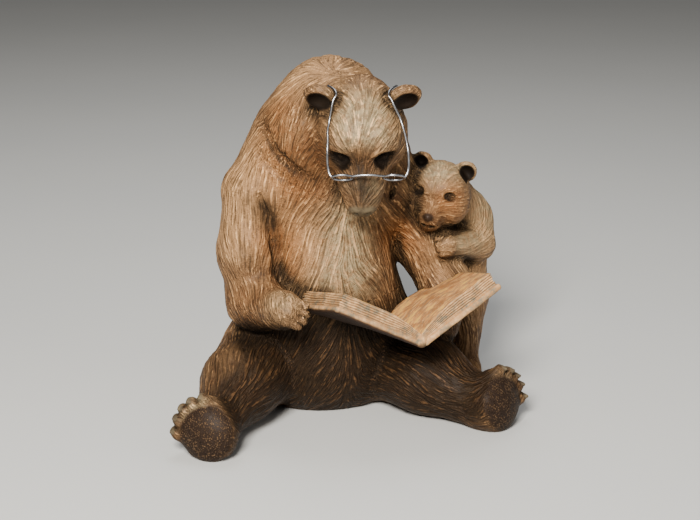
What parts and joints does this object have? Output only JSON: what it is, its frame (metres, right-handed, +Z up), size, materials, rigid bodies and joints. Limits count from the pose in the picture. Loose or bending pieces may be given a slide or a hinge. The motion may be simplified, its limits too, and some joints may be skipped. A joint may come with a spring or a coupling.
{
  "type": "bear statuette",
  "caption": "Table statuette of a seated bear reading an open book to a cub that leans over its arm, with loose bent-wire spectacles resting on the muzzle.",
  "frame": {"origin": "on the table, under the middle of the statuette's bounding box", "axes": "+Z up; the bear faces -Y; +X is to the bear's left, where the cub stands"},
  "size_m": [0.308, 0.2014, 0.3004],
  "materials": {
    "casting": "cast bonded resin with a brown bronze-like patina, rubbed lighter on the high places",
    "wire": "bright drawn wire"
  },
  "bodies": {
    "root": {"bear_cub_and_book_casting": "casting", "spectacles": "wire"}
  },
  "joints": []
}
